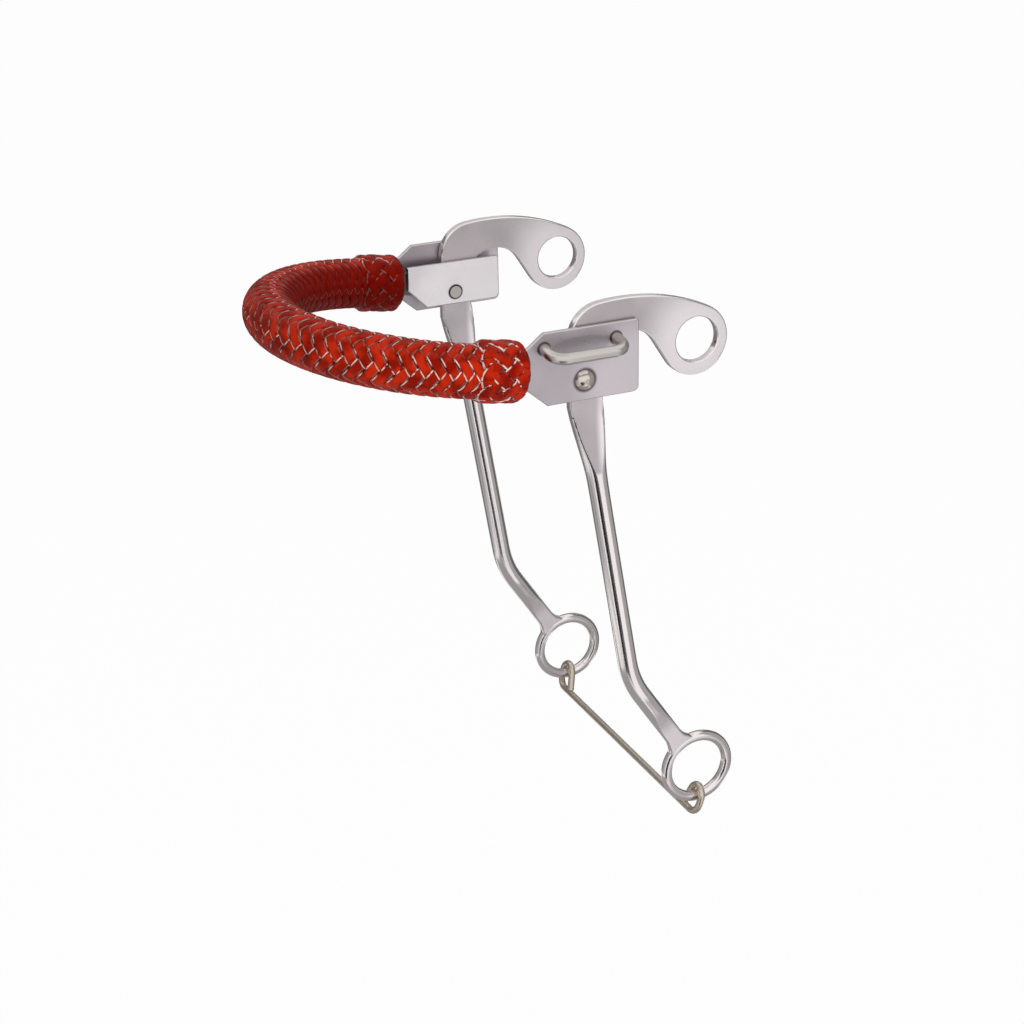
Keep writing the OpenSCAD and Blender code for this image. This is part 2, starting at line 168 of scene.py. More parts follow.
# Camera, worked out from the photograph
CAMERA_PLACE = Vector((-363.25, -819.58, 295.76))
CAMERA_AZIMUTH = math.radians(-23.8)
CAMERA_ELEVATION = math.radians(23.0)
CAMERA_ROLL = math.radians(-1.1)
CAMERA_LENS = 76.96
SENSOR_WIDTH = 36
CLIP_START = 0.01

# Floor: how far it is below the object and its half width, in metres, and how much of it is plain white
FLOOR_DROP = 0.25
FLOOR_SIZE = 8
FLOOR_WHITE = 0.975

nose_frame = Matrix.Translation(NOSE_ORIGIN) @ Matrix.Rotation(NOSE_TILT, 4, "Y")
chance = random.Random(7)


class Value:
    """A node's output socket that can be reckoned with."""

    def __init__(self, graph, socket):
        self.graph = graph
        self.socket = socket

    def math(self, operation, *others):
        """Outcome of a math node on this and the other values."""
        return self.graph.add("ShaderNodeMath", {"operation": operation}, dict(enumerate((self, *others))))

    def __add__(self, other):
        return self.math("ADD", other)

    def __sub__(self, other):
        return self.math("SUBTRACT", other)

    def __rsub__(self, other):
        return self.graph.add("ShaderNodeMath", {"operation": "SUBTRACT"}, {0: other, 1: self})

    def __mul__(self, other):
        return self.math("MULTIPLY", other)

    def __abs__(self):
        return self.math("ABSOLUTE")

    __radd__ = __add__

    def ramp(self, low, high, to_low=0.0, to_high=1.0):
        """Smooth step from to_low at low to to_high at high."""
        settings = {"interpolation_type": "SMOOTHSTEP"}
        inputs = {"Value": self, "From Min": low, "From Max": high, "To Min": to_low, "To Max": to_high}
        return self.graph.add("ShaderNodeMapRange", settings, inputs)


class Graph:
    """The nodes of one material or of the world."""

    def __init__(self, owner):
        owner.use_nodes = True
        self.owner = owner
        self.tree = owner.node_tree
        self.tree.nodes.clear()

    def node(self, kind, settings=None, inputs=None):
        """Makes a node with those settings, and with those values or links on its inputs."""
        made = self.tree.nodes.new(kind)
        for name, value in (settings or {}).items():
            setattr(made, name, value)
        for name, value in (inputs or {}).items():
            if isinstance(value, Value):
                self.tree.links.new(value.socket, made.inputs[name])
            else:
                made.inputs[name].default_value = value
        return made

    def add(self, kind, settings=None, inputs=None, output=0):
        """Makes such a node and gives one of its outputs."""
        return Value(self, self.node(kind, settings, inputs).outputs[output])

    def place(self, output="Object"):
        return self.add("ShaderNodeTexCoord", output=output)

    def noise(self, scale, detail=3.0, stretch=None):
        """Fine noise from about 0.3 to 0.7, in object coordinates."""
        vector = self.place()
        if stretch:
            vector = self.add("ShaderNodeMapping", {}, {"Vector": vector, "Scale": stretch})
        inputs = {"Vector": vector, "Scale": scale, "Detail": detail}
        return self.add("ShaderNodeTexNoise", {}, inputs)

    def mix(self, share, first, second):
        """Blend of two colours."""
        made = self.node("ShaderNodeMix", {"data_type": "RGBA"})
        for name, value in (("Factor_Float", share), ("A_Color", first), ("B_Color", second)):
            socket = next(s for s in made.inputs if s.identifier == name)
            if isinstance(value, Value):
                self.tree.links.new(value.socket, socket)
            else:
                socket.default_value = value
        return Value(self, next(s for s in made.outputs if s.identifier == "Result_Color"))

    def bump(self, height, depth):
        """Normal of a surface that is roughened to a depth in metres."""
        return self.add("ShaderNodeBump", {}, {"Height": height, "Distance": depth, "Strength": 1.0})

    def surface(self, **inputs):
        """Closes the material with a Principled shader."""
        named = {name.replace("_", " "): value for name, value in inputs.items()}
        shader = self.add("ShaderNodeBsdfPrincipled", {}, named)
        self.node("ShaderNodeOutputMaterial", {}, {"Surface": shader})
        return self.owner


def srgb(red, green, blue):
    """Colour of a shader socket from 8-bit screen values."""
    def linear(value):
        share = value / 255
        return share / 12.92 if share <= 0.04045 else ((share + 0.055) / 1.055) ** 2.4

    return (linear(red), linear(green), linear(blue), 1)


def lighter(colour, step):
    """Colour of a shader socket, brighter than 8-bit screen values by a step."""
    return srgb(*(share + step for share in colour))


# Materials
WAX_TINT = srgb(255, 150, 120)
RED_LEATHER = srgb(136, 18, 5), srgb(200, 42, 15)
RAW_LEATHER = srgb(255, 226, 212)
# Colour of painted shade on the steel, at contacts and under the loop
PAINTED_SHADE_COLOUR = srgb(58, 50, 48)
# How square to the side a flat of the cheeks is, from where it starts to be satin to where it is fully
FLAT_FACING = (0.95, 0.985)
# Radius at which a place of painted light and a place of painted shade end, as a multiple of the radius of
# their full part
PAINTED_LIGHT_FADE = 2.8
PAINTED_SHADE_FADE = 1.3


def leather(name):
    """Waxed red strands with pale raw edges, which show most where a strand dives under the others.
    The UV map holds the place along the strand, counted in floats, and the place across it, from the
    skived edge to the raw one. A point attribute is 1 where the leather lies on the nose, which is
    darkened there as painted shade. The strands' edges and the ends of their floats also get painted shade."""
    graph = Graph(bpy.data.materials.new(name))
    painted_shading = graph.add("ShaderNodeAttribute", {"attribute_name": "painted_shading"}, output="Fac")
    strand_place = graph.node("ShaderNodeSeparateXYZ", {}, {"Vector": graph.place("UV")})
    along, across = (Value(graph, strand_place.outputs[axis]) for axis in ("X", "Y"))
    edge = abs(across - 0.5) * 2
    from_crest = abs(along.math("FRACT") - 0.5) * 2
    patches = graph.noise(140, 4).ramp(0.35, 0.65)
    broken = graph.noise(420, 2).ramp(0.32, 0.46)
    grain = graph.noise(2600, 2)
    fibre = graph.noise(3000, 2, stretch=(1, 1, 0.3))
    colour = graph.mix(patches, *RED_LEATHER)
    # Painted shade along the strands' edges, where they meet the gaps
    colour = graph.mix(edge.ramp(0.55, 0.95) * 0.75, colour, srgb(84, 8, 3))
    # Painted shade towards the ends of the floats, where a strand dives under the others
    colour = graph.mix(from_crest.ramp(0.5, 0.85) * 0.5, colour, srgb(100, 10, 4))
    # Painted shade on the side that lies on the nose
    colour = graph.mix(painted_shading * 0.85, colour, srgb(128, 8, 2))
    raw = edge.ramp(0.75, 0.81) * from_crest.ramp(0.05, 0.25) * broken
    # Pale edges mostly on the raw side, and faded where shade is painted on the nose side
    raw = raw * across.ramp(0.4, 0.6, 0.12, 1.0) * (1 - painted_shading * 0.85)
    colour = graph.mix(raw, colour, RAW_LEATHER)
    roughness = patches.ramp(0.0, 1.0, 0.5, 0.4) + raw * 0.3
    return graph.surface(Base_Color=colour, Roughness=roughness, Specular_IOR_Level=0.14,
                         Specular_Tint=WAX_TINT, Normal=graph.bump(grain + fibre, 0.00008))


def cut_leather(name):
    """Pale cut sides of the strands, stained red in places and on the skived edge, darkened as painted shade
    on the side that lies on the nose.
    """
    graph = Graph(bpy.data.materials.new(name))
    painted_shading = graph.add("ShaderNodeAttribute", {"attribute_name": "painted_shading"}, output="Fac")
    across = graph.add("ShaderNodeSeparateXYZ", {}, {"Vector": graph.place("UV")}, output=1)
    stain = graph.noise(220, 3).ramp(0.46, 0.62).math("MAXIMUM", across.ramp(0.6, 0.4, 0.0, 0.9))
    colour = graph.mix(stain, srgb(255, 236, 220), srgb(160, 50, 32))
    # Painted shade on the side that lies on the nose
    colour = graph.mix(painted_shading * 0.9, colour, srgb(104, 12, 6))
    return graph.surface(Base_Color=colour, Roughness=0.7, Specular_IOR_Level=0.1,
                         Normal=graph.bump(graph.noise(1800), 0.0001))


def dark_leather(name):
    """Backing that shows only in the gaps between strands; its dark colour is painted shade in the gaps."""
    graph = Graph(bpy.data.materials.new(name))
    colour = graph.mix(graph.noise(300).ramp(0.4, 0.6), srgb(52, 8, 6), srgb(84, 14, 8))
    return graph.surface(Base_Color=colour, Roughness=0.75, Specular_IOR_Level=0.1,
                         Normal=graph.bump(graph.noise(900), 0.0002))


def distance_from(graph, place, scale):
    """Distance from a place, where each axis counts as much as its scale. Both cheeks are on one side."""
    here = graph.node("ShaderNodeSeparateXYZ", {}, {"Vector": graph.place()})
    x, y, z = (Value(graph, socket) for socket in here.outputs)
    folded = graph.add("ShaderNodeCombineXYZ", {}, {"X": x, "Y": abs(y), "Z": z})
    offset = graph.add("ShaderNodeVectorMath", {"operation": "SUBTRACT"}, {0: folded, 1: place})
    scaled = graph.add("ShaderNodeVectorMath", {"operation": "MULTIPLY"}, {0: offset, 1: scale})
    return graph.add("ShaderNodeVectorMath", {"operation": "LENGTH"}, {0: scaled}, output="Value")


def steel(name, polished, satin, gloss, satin_gloss, painted_shading=(), painted_shade=(), round_from_to=None):
    """Stainless steel: polished where it is round, satin on the flats of the cheeks, with fine
    scratches. The flats are lighter or darker by a step near each place of painted reflection, and
    darkened near each place of painted shade. Between the two heights round_from_to all of it is polished."""
    graph = Graph(bpy.data.materials.new(name))
    facing = abs(graph.add("ShaderNodeSeparateXYZ", {}, {"Vector": graph.place("Normal")}, output=1))
    flat = facing.ramp(*FLAT_FACING)
    if round_from_to:
        top, bottom = round_from_to
        height = graph.add("ShaderNodeSeparateXYZ", {}, {"Vector": graph.place()}, output=2)
        flat = flat * height.ramp(top, top + 0.002).math("MAXIMUM", height.ramp(bottom, bottom - 0.004))
    patches = graph.noise(38, 2).ramp(0.35, 0.65)
    specks = graph.noise(1300, 3).ramp(0.6, 0.75)
    tone = graph.mix(patches, srgb(*satin), lighter(satin, -10))
    tone = graph.mix(specks * 0.3, tone, lighter(satin, -44))
    rough = satin_gloss + specks * 0.08
    # Painted reflection: flats lighter or darker near these places
    for place, scale, radius, step in painted_shading:
        near = distance_from(graph, place, scale).ramp(radius * PAINTED_LIGHT_FADE, radius)
        tone = graph.mix(near, tone, lighter(satin, step))
    colour = graph.mix(flat, srgb(*polished), tone)
    # Painted shade, darker near these places
    for place, scale, radius, strength in painted_shade:
        shade_share = distance_from(graph, place, scale).ramp(radius * PAINTED_SHADE_FADE, radius)
        colour = graph.mix(shade_share * strength, colour, PAINTED_SHADE_COLOUR)
    roughness = gloss + flat * (rough - gloss) + patches * 0.03
    lines = graph.noise(1500, 2, stretch=(0.15, 1, 1))
    return graph.surface(Base_Color=colour, Metallic=1.0, Roughness=roughness,
                         Normal=graph.bump(lines, 0.000005))


# Places on the left and right cheek, in metres, around which light and shade are painted: the curb eye,
# the rear edge of the blade, the neck of the rein ring, the rear of the outer plate, the pivot rivet's two
# ends, the roots of the headstall loop and the plate behind it
CURB_EYE = (0.0523, 0, 0.0085)
BLADE_REAR = (0.0112, 0, -0.026)
RING_NECK = (0.046, 0, -0.178)
PLATE_REAR = (0.022, 0, -0.002)
RIVET_HEAD = (0, 0.0713, 0)
RIVET_END = (0, 0.0627, 0)
LOOP_LEGS = [(-0.018, 0.0713, 0.0159), (0.014, 0.0713, 0.0159)]
LOOP_BEHIND = (-0.002, 0.0713, 0.0148)
# How much each axis counts in the distance from such a place
BOTH_FACES = (1, 0, 1)
TALL_PATCH = (1, 0, 0.15)
NEAR_FACE = (1, 4, 1)
LONG_PATCH = (0.3, 4, 1)
# Heights between which a shank is a round rod, in metres
ROD = (-0.043, -0.150)

materials = {
    "braided_leather": leather("braided_leather"),
    "cut_leather": cut_leather("cut_leather"),
    "dark_leather": dark_leather("dark_leather"),
    # Outer plates: painted reflection brighter to the rear, painted contact shade round the rivet head and
    # the loop's roots, and a painted shadow of the loop behind it
    "plate_steel": steel("plate_steel", (206, 200, 200), (189, 181, 186), 0.22, 0.4,
                         [(PLATE_REAR, BOTH_FACES, 0.012, 24)],
                         [(RIVET_HEAD, NEAR_FACE, 0.0045, 0.85), (LOOP_BEHIND, LONG_PATCH, 0.0035, 0.2),
                          *((leg, NEAR_FACE, 0.0026, 0.85) for leg in LOOP_LEGS)]),
    # Inner plates: satin far brighter than the outer plates' as painted reflection, a little darker to the
    # rear, and painted contact shade round the rivet's end
    "inner_plate_steel": steel("inner_plate_steel", (214, 208, 208), (255, 249, 252), 0.22, 0.4,
                               [(PLATE_REAR, BOTH_FACES, 0.01, -8)],
                               [(RIVET_END, NEAR_FACE, 0.0031, 0.85)]),
    # Shanks: painted highlights round the curb eye, along the blade's rear edge and on the neck of the rein
    # ring
    "shank_steel": steel("shank_steel", (240, 233, 232), (195, 187, 190), 0.15, 0.34,
                         [(CURB_EYE, BOTH_FACES, 0.011, 46), (BLADE_REAR, TALL_PATCH, 0.0022, 60),
                          (RING_NECK, BOTH_FACES, 0.012, 30)], [], ROD),
    "rivet_steel": steel("rivet_steel", (222, 212, 204), (190, 182, 178), 0.22, 0.3),
    "loop_steel": steel("loop_steel", (206, 200, 195), (200, 194, 190), 0.27, 0.3),
    "tang_steel": steel("tang_steel", (150, 144, 144), (130, 124, 124), 0.4, 0.5),
    "cable_steel": steel("cable_steel", (130, 128, 128), (120, 118, 118), 0.4, 0.5),
    "spacer_wire": steel("spacer_wire", (218, 206, 191), (208, 197, 183), 0.34, 0.4),
}


# Leather pieces
def smooth_step(low, high, value):
    """0 at low, 1 at high and level at both."""
    share = min(max((value - low) / (high - low), 0), 1)
    return share * share * (3 - 2 * share)


def nose_point(along, turn, radius):
    """Point of the noseband in metres: distance along the centre line from the left end,
    angle from outwards to up, and distance from the centre line."""
    bend = min(max((along - NOSE_STRAIGHT) / NOSE_RADIUS, 0), math.pi)
    rest = along - NOSE_STRAIGHT - NOSE_RADIUS * bend
    outwards = Vector((-math.sin(bend), -math.cos(bend), 0))
    onwards = Vector((-math.cos(bend), math.sin(bend), 0))
    centre = Vector((-NOSE_STRAIGHT, 0, 0)) + NOSE_RADIUS * outwards + rest * onwards
    local = centre + radius * (math.cos(turn) * outwards + math.sin(turn) * Vector((0, 0, 1)))
    return nose_frame @ local * MM


def inner_shade_share(point):
    """Share of painted shade: 1 on the side of the noseband that lies on the nose, and 0 on its outside."""
    local = nose_frame.inverted() @ (point / MM)
    out = math.hypot(min(local.x + NOSE_STRAIGHT, 0), local.y) - NOSE_RADIUS
    return smooth_step(INNER_SHADE_FROM, INNER_SHADE_TO, out)


def add_strip(mesh, rows, columns, place, mapping=None, least_shade=0.0):
    """Adds a grid to the mesh and moves each of its points to place(along, across), both from -1 to 1.
    Its UV map holds mapping(along, across)."""
    # Share of painted shade at each point, 1 on the side that lies on the nose
    painted_shading = mesh.verts.layers.float.get("painted_shading") or mesh.verts.layers.float.new("painted_shading")
    layer = mesh.loops.layers.uv.active
    made = bmesh.ops.create_grid(mesh, x_segments=rows, y_segments=columns, size=1, calc_uvs=True)
    for vert in made["verts"]:
        along, across = vert.co.x, vert.co.y
        if mapping:
            for loop in vert.link_loops:
                loop[layer].uv = mapping(along, across)
        vert.co = place(along, across)
        vert[painted_shading] = max(inner_shade_share(vert.co), least_shade)


def merge(mesh):
    """Makes one point of those that lie in one place."""
    bmesh.ops.remove_doubles(mesh, verts=mesh.verts, dist=MERGE_DISTANCE)


def close_holes(mesh):
    """Puts faces over the open ends of a mesh."""
    bmesh.ops.holes_fill(mesh, edges=[edge for edge in mesh.edges if edge.is_boundary])


def new_piece(name, mesh, slots, body, *replaced):
    """Makes an object of a finished bmesh that rides on a body."""
    data = bpy.data.meshes.new(name)
    mesh.normal_update()
    mesh.to_mesh(data)
    mesh.free()
    for face in data.polygons:
        face.use_smooth = True
    for slot in slots:
        data.materials.append(materials[slot])
    piece = bpy.data.objects.new(name, data)
    bpy.context.scene.collection.objects.link(piece)
    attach(piece, body)
    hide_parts(*replaced)
    return piece


def strip_leather(piece):
    """Gives the strips of a piece their thickness, inwards, with pale cut sides."""
    thick = piece.modifiers.new("thickness", "SOLIDIFY")
    thick.thickness = STRAND_THICK * MM
    thick.offset = -1
    thick.material_offset_rim = 1


def braid_level(crossing):
    """1 where a strand runs over two others and -1 where it runs under the next two."""
    away = abs((crossing + FLOAT_CREST) % FLOAT_PERIOD - FLOAT_PERIOD / 2)
    return 1 - 2 * smooth_step(DIVE_FROM, DIVE_TO, away)


def braid_along(share):
    """Distance along the noseband of a share of the braid's crossings."""
    whole_turn = 2 * math.pi
    stretched = share - BRAID_STRETCH * math.sin(whole_turn * share) / whole_turn
    return BRAID_START + (NOSE_LENGTH - 2 * BRAID_START) * stretched


def braid(direction):
    """Strands that climb (1) or fall (-1) round the noseband, as one mesh."""
    mesh = bmesh.new()
    mesh.loops.layers.uv.new()
    turn_step = math.pi / BRAID_STRANDS
    first_turn = BRAID_APEX + turn_step / 2
    crossings = (NOSE_LENGTH - 2 * BRAID_START) / (BRAID_PITCH / 2)
    rows = round(crossings * ROWS_PER_CROSSING)
    for strand in range(BRAID_STRANDS):
        fill = STRAND_FILL + chance.uniform(-FILL_SPREAD, FILL_SPREAD)
        sway = [chance.uniform(0, 2 * math.pi) for _ in DRIFT_WAVES]

        def place(along, across):
            at = (along + 1) / 2 * crossings
            drift = sum(size * math.sin(at * rate + start) for (size, rate), start in zip(DRIFT_WAVES, sway))
            own = drift - direction * across * fill
            turn = first_turn + turn_step * (2 * strand + direction * (at + own))
            level = direction * braid_level(2 * strand + direction * at)
            crown = STRAND_CROWN * abs(across) ** 3
            radius = BRAID_MIDDLE + STRAND_THICK / 2 * (1 + level) - crown
            return nose_point(braid_along((at - own) / crossings), turn, radius)

        def mapping(along, across):
            at = (along + 1) / 2 * crossings
            first = FLOAT_CREST if direction > 0 else FLOAT_CREST + FLOAT_PERIOD / 2
            floats = (first + 2 * strand + direction * at) / FLOAT_PERIOD
            return floats, (1 + direction * across) / 2

        add_strip(mesh, rows, STRAND_COLUMNS, place, mapping)
    return mesh


for word, direction in {"climbing": 1, "falling": -1}.items():
    replaced = ["noseband_braid"] if direction > 0 else []
    strands = new_piece(f"braid_{word}_strands", braid(direction), ["braided_leather", "cut_leather"],
                        "noseband", *replaced)
    strip_leather(strands)


def knot_profile(share):
    """Radius of an end knot from its edge at the plates (0) to its edge on the braid (1)."""
    from_plate = share * KNOT_LENGTH
    from_braid = (1 - share) * KNOT_LENGTH
    near = KNOT_ROUND - math.sqrt(max(KNOT_ROUND ** 2 - max(KNOT_ROUND - from_plate, 0) ** 2, 0))
    far = KNOT_EDGE_DROP * (1 - smooth_step(0, KNOT_EDGE_RUN, from_braid))
    return KNOT_RADIUS - near - far


def knot_level(swing):
    """Over and under along the knot's strand, from where it is between its two turning places."""
    half = swing % math.pi
    share = half / math.pi
    calm = smooth_step(0, KNOT_CALM, share * KNOT_LEADS)
    calm *= smooth_step(0, KNOT_CALM, (1 - share) * KNOT_LEADS)
    return -math.cos(KNOT_LEADS * half) * calm


def knot_point(side, along, turn, radius):
    """Point of the noseband in metres, where along counts from the end on that side."""
    if side == "right":
        along = NOSE_LENGTH - along
    return nose_point(along, turn, radius)


def knot(side):
    """The knot's one strand, which closes on itself."""
    mesh = bmesh.new()
    mesh.loops.layers.uv.new()
    reach = (KNOT_LENGTH - KNOT_STRAND) / 2

    def place(along, across):
        time = (along + 1) * math.pi
        swing = KNOT_BIGHTS * time
        rate = Vector((KNOT_RADIUS * KNOT_LEADS, -reach * KNOT_BIGHTS * math.sin(swing))).normalized()
        offset = across * KNOT_STRAND / 2
        at = KNOT_LENGTH / 2 + reach * math.cos(swing) + offset * rate.x
        turn = KNOT_LEADS * time - offset * rate.y / KNOT_RADIUS
        share = min(max(at / KNOT_LENGTH, 0), 1)
        lift = KNOT_LIFT * (1 + knot_level(swing))
        radius = knot_profile(share) + lift - STRAND_CROWN * abs(across) ** 3
        return knot_point(side, KNOT_START + at, turn, radius)

    def mapping(along, across):
        laps = KNOT_BIGHTS * (along + 1)
        floats = math.ceil(KNOT_LEADS / 2) * math.floor(laps) + KNOT_LEADS / 2 * (laps % 1)
        return floats, (1 + across) / 2

    add_strip(mesh, KNOT_ROWS, STRAND_COLUMNS, place, mapping, KNOT_SHADE)
    merge(mesh)
    if side == "right":
        bmesh.ops.reverse_faces(mesh, faces=mesh.faces)
    return mesh


def knot_backing(side):
    """Closed sleeve under the knot's strand."""
    mesh = bmesh.new()
    mesh.loops.layers.uv.new()

    def place(along, across):
        share = (along + 1) / 2
        radius = knot_profile(share) - BACKING_INSET
        return knot_point(side, KNOT_START + share * KNOT_LENGTH, (across + 1) * math.pi, radius)

    add_strip(mesh, *BACKING_GRID, place)
    merge(mesh)
    bmesh.ops.recalc_face_normals(mesh, faces=mesh.faces)
    return mesh


for side in SIDES:
    strand = new_piece(f"{side}_knot_strand", knot(side), ["braided_leather", "cut_leather"], "noseband",
                       f"{side}_end_knot")
    strip_leather(strand)
    backing = new_piece(f"{side}_knot_backing", knot_backing(side), ["dark_leather"], "noseband")


def drawn_out(mesh, ring, length):
    """Draws a tube on from the edges of its open end, along X, and gives the edges that were made."""
    made = bmesh.ops.extrude_edge_only(mesh, edges=ring)["geom"]
    verts = [item for item in made if isinstance(item, bmesh.types.BMVert)]
    bmesh.ops.translate(mesh, verts=verts, vec=(length, 0, 0))
    return [item for item in made if isinstance(item, bmesh.types.BMEdge)]


def core_sleeve():
    """Closed tube inside the braid, drawn along the noseband from a circle."""
    mesh = bmesh.new()
    start = Matrix.Translation((-BRAID_START, -NOSE_RADIUS, 0)) @ Matrix.Rotation(math.radians(90), 4, "Y")
    bmesh.ops.create_circle(mesh, cap_ends=True, segments=SLEEVE_SIDES, radius=SLEEVE_RADIUS, matrix=start)
    ring = drawn_out(mesh, list(mesh.edges), BRAID_START - NOSE_STRAIGHT)
    arc = bmesh.ops.spin(mesh, geom=ring, cent=(-NOSE_STRAIGHT, 0, 0), axis=(0, 0, 1), angle=-math.pi,
                         steps=SLEEVE_STEPS)
    ring = [item for item in arc["geom_last"] if isinstance(item, bmesh.types.BMEdge)]
    ring = drawn_out(mesh, ring, NOSE_STRAIGHT - BRAID_START)
    bmesh.ops.contextual_create(mesh, geom=ring)
    bmesh.ops.transform(mesh, verts=mesh.verts, matrix=Matrix.Scale(MM, 4) @ nose_frame)
    bmesh.ops.recalc_face_normals(mesh, faces=mesh.faces)
    return mesh


sleeve = new_piece("noseband_core_sleeve", core_sleeve(), ["dark_leather"], "noseband", "noseband_filler")


# Steel pieces
def rounded(source, width, wanted):
    """Copy of a CAD mesh with its wanted sharp edges rounded over."""
    mesh = bmesh.new()
    mesh.from_mesh(source)
    merge(mesh)
    bmesh.ops.dissolve_limit(mesh, angle_limit=FLAT_ANGLE, verts=mesh.verts, edges=mesh.edges)
    sharp = [edge for edge in mesh.edges if edge.calc_face_angle(0) > EASED_ANGLE and wanted(edge)]
    bmesh.ops.bevel(mesh, geom=sharp, offset=width * MM, offset_type="OFFSET", affect="EDGES",
                    segments=EASE_STEPS, profile=0.5, material=-1)
    return mesh


def eased(node, material, body, width, wanted, dropped=None):
    """Rounded copy of a CAD piece, which replaces it. Faces that have all their corners in dropped
    places are left out, and the holes are closed."""
    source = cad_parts[node].data
    mesh = rounded(source, width, wanted)
    if dropped:
        gone = [face for face in mesh.faces if all(dropped(vert.co) for vert in face.verts)]
        bmesh.ops.delete(mesh, geom=gone, context="FACES")
        close_holes(mesh)
    piece = new_piece(f"{node}_eased", mesh, [material], body, node)
    shade_evenly(piece, source)
    return piece


def shade_evenly(piece, source):
    """Keeps flats flat to the light beside rounded edges."""
    piece.data.set_sharp_from_angle(angle=EASED_CREASE)
    shading = piece.modifiers.new("even_shading", "WEIGHTED_NORMAL")
    shading.keep_sharp = True
    even = piece.evaluated_get(bpy.context.evaluated_depsgraph_get()).data
    normals = [normal.vector.copy() for normal in even.corner_normals]
    piece.modifiers.clear()
    keep_cad_normals(source, piece.data, normals)
    piece.data.normals_split_custom_set(normals)


def keep_cad_normals(source, data, normals):
    """Puts back the exact normals of round CAD surfaces at the corners that easing didn't move."""
    exact = {}
    for loop, normal in zip(source.loops, source.corner_normals):
        spot = source.vertices[loop.vertex_index].co
        exact.setdefault(grid_key(spot), []).append(normal.vector.copy())
    for face in data.polygons:
        for corner in face.loop_indices:
            spot = data.vertices[data.loops[corner].vertex_index].co
            choices = exact.get(grid_key(spot), [])
            best = max(choices, key=face.normal.dot, default=face.normal)
            if choices and best.dot(face.normal) > math.cos(EASED_CREASE):
                normals[corner] = best


def grid_key(spot):
    """Place rounded to the grid, which is the same for a CAD corner and its copy."""
    return tuple(round(value * GRID_STEPS) for value in spot)


def clear_of_holes(edge):
    """True for edges of a plate's outline, away from its rivet and the loop's legs."""
    middle = (edge.verts[0].co + edge.verts[1].co) / 2
    return all(math.hypot(middle.x - x, middle.z - z) > HOLE_REACH for x, _, z in (RIVET_HEAD, *LOOP_LEGS))


def on_arm(edge):
    """True for edges of a shank's flat arm, above the forged taper and away from the rivet."""
    middle = (edge.verts[0].co + edge.verts[1].co) / 2
    return down(SHANK_RAKE).dot(middle) < BLADE_END * MM and math.hypot(middle.x, middle.z) > HOLE_REACH


def below_blade(place):
    """True for places on a shank's taper, rod and ring, but not on the low end of its arm."""
    below, behind = down(SHANK_RAKE).dot(place), rearwards(SHANK_RAKE).dot(place)
    return below > BLADE_END * MM and not (behind > ARM_END * MM and below < 2 * BLADE_END * MM)


def down(rake):
    """Direction down a rod that is tipped back by an angle."""
    return Vector((math.sin(rake), 0, -math.cos(rake)))


def rearwards(rake):
    """Direction square to such a rod, to the rear."""
    return Vector((math.cos(rake), 0, math.sin(rake)))


def eased_ramp(run):
    """Height of a slope of 1 that starts from level ground in a curve."""
    run = max(run, 0)
    return run * run / (2 * FLAT_EASE) if run < FLAT_EASE else run - FLAT_EASE / 2


def rod_section(at, turn):
    """Distance from a rod's middle line to its surface."""
    taper = min((TAPER_TO - at) / (TAPER_TO - TAPER_FROM), 1)
    taper = (taper + math.hypot(taper, TAPER_EASE)) / 2
    round_half = ROD_RADIUS + (BLADE_ROUND - ROD_RADIUS) * taper
    flat_half = min(BLADE_FLAT + TAPER_SLOPE * eased_ramp(at - TAPER_FROM),
                    NECK_FLAT + NECK_SLOPE * eased_ramp(NECK_FROM - at))
    limits = (1 / round_half, abs(math.sin(turn)) / flat_half, abs(math.cos(turn)) / BLADE_HALF)
    return sum(limit ** EDGE_POWER for limit in limits) ** (-1 / EDGE_POWER)


def shank_point(side, at, leg, rear, out):
    """Point of a shank in metres: distance down the rod from the pivot, of which leg is below the bend,
    then rearwards of the rod's middle line and outwards."""
    rake = SHANK_RAKE + min(max((at - BEND_FROM) / BEND_RADIUS, 0), BEND_ANGLE)
    centre = min(at, BEND_FROM) * down(SHANK_RAKE) + leg * down(rake)
    centre += BEND_RADIUS * (rearwards(SHANK_RAKE) - rearwards(rake)) + rear * rearwards(rake)
    centre.y = (SHANK_OUT + out) * (1 if side == "right" else -1)
    return centre * MM


def rod(side):
    """Forged taper, rod, bend and neck of a shank, and its rein ring."""
    mesh = bmesh.new()
    length = FILLET_FROM + FILLET_RADIUS * FILLET_ANGLE - ROD_TOP

    def bar_place(along, across):
        at = ROD_TOP + (along + 1) / 2 * length
        turn = (across + 1) * math.pi
        reach = rod_section(at, turn)
        fillet = max(at - FILLET_FROM, 0) / FILLET_RADIUS
        share = math.cos(turn) * reach / ROD_RADIUS
        rear = share * (ROD_RADIUS + FILLET_RADIUS * (1 - math.cos(fillet)))
        leg = max(min(at, FILLET_FROM) - LEG_FROM, 0) + FILLET_RADIUS * math.sin(fillet)
        leg -= FILLET_BULGE * (1 - share * share) * (fillet / FILLET_ANGLE) ** 2
        return shank_point(side, at, leg, rear, math.sin(turn) * reach)

    def ring_place(along, across):
        turn, round_wire = (along + 1) * math.pi, (across + 1) * math.pi
        reach = RING_RADIUS + RING_WIRE * math.cos(round_wire)
        leg = RING_MIDDLE - LEG_FROM + reach * math.cos(turn)
        return shank_point(side, RING_MIDDLE, leg, reach * math.sin(turn), RING_WIRE * math.sin(round_wire))

    add_strip(mesh, round(length), ROD_COLUMNS, bar_place)
    merge(mesh)
    close_holes(mesh)
    add_strip(mesh, *RING_GRID, ring_place)
    merge(mesh)
    bmesh.ops.recalc_face_normals(mesh, faces=mesh.faces)
    return mesh


